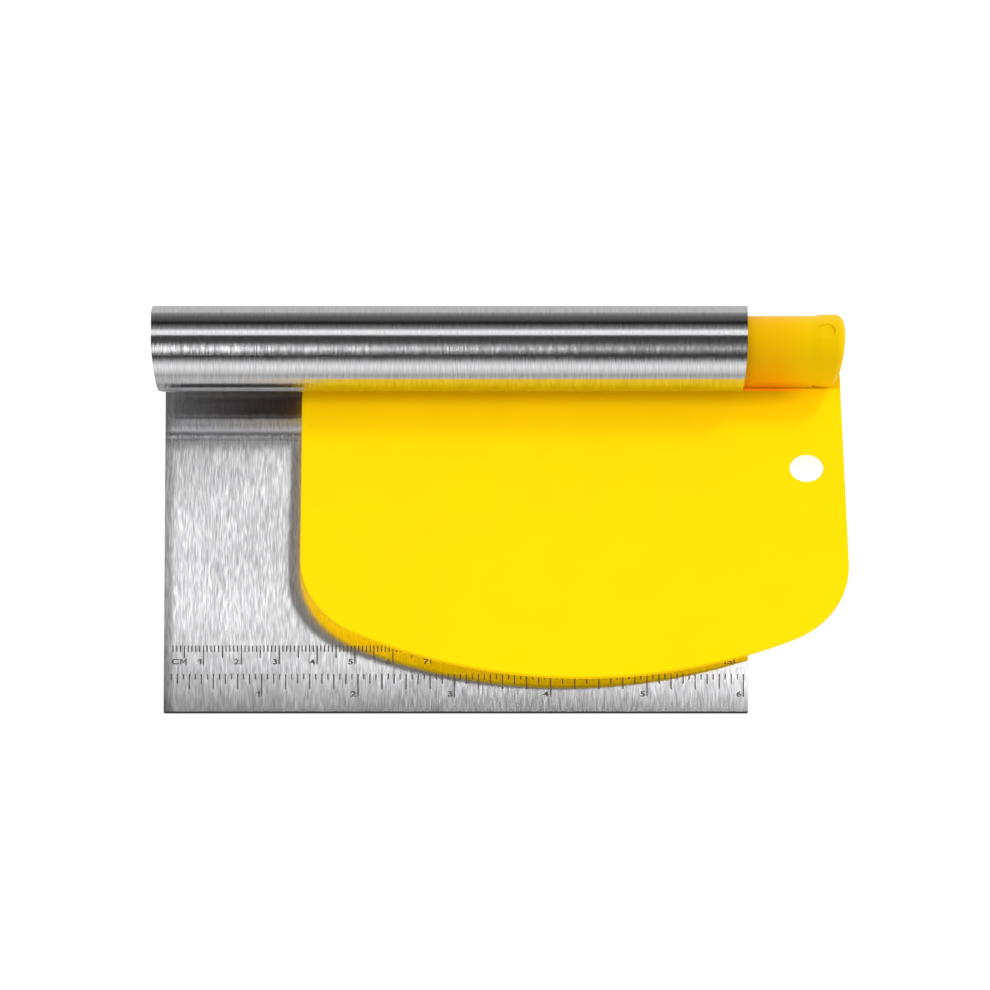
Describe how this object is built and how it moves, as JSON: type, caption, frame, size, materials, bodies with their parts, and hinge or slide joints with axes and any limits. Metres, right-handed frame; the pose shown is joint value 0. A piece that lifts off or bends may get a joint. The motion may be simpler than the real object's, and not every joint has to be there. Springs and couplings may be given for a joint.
{
  "type": "bench scraper",
  "caption": "Rectangular steel bench scraper with a rolled tube handle, etched scales, and a curved plastic bowl scraper that slides out of the handle.",
  "frame": {"origin": "centre of the steel blade's flat back face, which the tool lies on", "axes": "+X along the handle towards the end the bowl scraper slides out of, +Y from the scraping edge towards the handle, +Z out of the blade's front face"},
  "size_m": [0.1847, 0.1184, 0.0239],
  "materials": {
    "steel": "brushed across the handle and up the blade, satin",
    "etched_marks": "dull dark oxide",
    "yellow_plastic": "satin moulded plastic"
  },
  "bodies": {
    "steel_body": {"steel_blade": "steel", "rolled_handle": "steel", "cm_scale": "etched_marks", "inch_scale": "etched_marks"},
    "bowl_scraper": {"bowl_scraper_blade": "yellow_plastic", "bowl_scraper_core": "yellow_plastic", "bowl_scraper_knob": "yellow_plastic"}
  },
  "joints": [
    {"name": "bowl_scraper_slide", "type": "slide", "parent": "steel_body", "child": "bowl_scraper", "axis": [1, 0, 0], "range_m": [-0.026, 0.11]}
  ]
}
